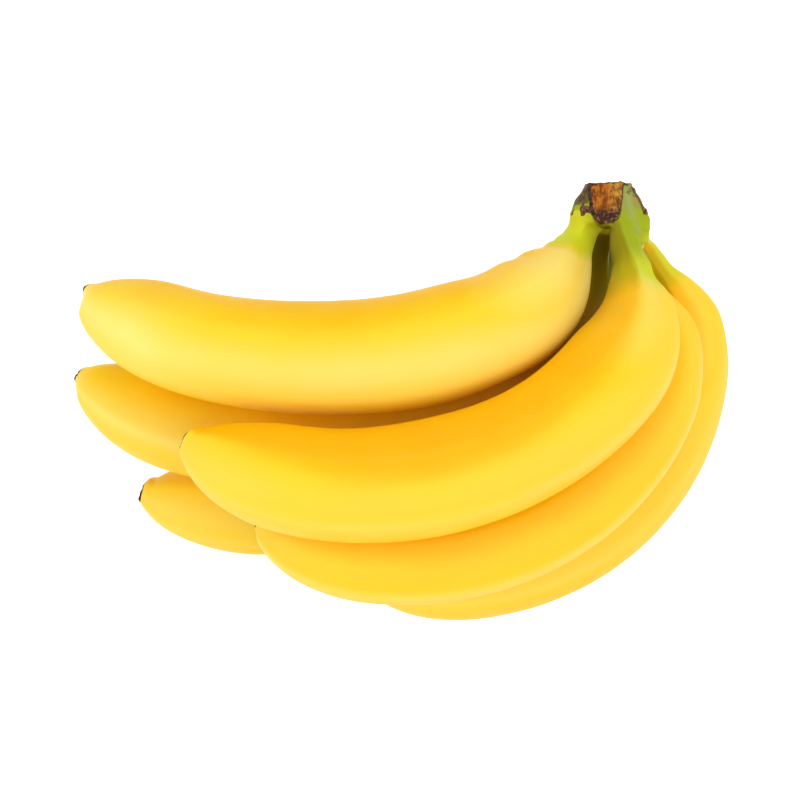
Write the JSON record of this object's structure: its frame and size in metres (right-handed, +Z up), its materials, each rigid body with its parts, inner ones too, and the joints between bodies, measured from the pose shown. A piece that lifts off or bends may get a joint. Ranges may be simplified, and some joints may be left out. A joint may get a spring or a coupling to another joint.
{
  "type": "bunch of bananas",
  "caption": "Hand of curved ripe yellow bananas in two rows, joined by short green necks to one cut crown of stalk, lying on its side.",
  "frame": {"origin": "on the table under the middle of the hand's bounding box", "axes": "+Z up from the table, +X along the length of the fingers towards the crown's side, +Y towards the crown and away from the bulging backs of the fingers"},
  "size_m": [0.219, 0.149, 0.1079],
  "materials": {
    "peel": "satin waxy banana peel, greener at the neck, dark brown at the dried flower scar",
    "stalk": "matt green-brown stalk, orange-brown fibres and dark dried rims on the cut faces"
  },
  "bodies": {
    "root": {"crown": "stalk", "finger_inner_top": "peel", "finger_inner_middle": "peel", "finger_inner_bottom": "peel", "finger_outer_top": "peel", "finger_outer_middle": "peel", "finger_outer_bottom": "peel"}
  },
  "joints": []
}
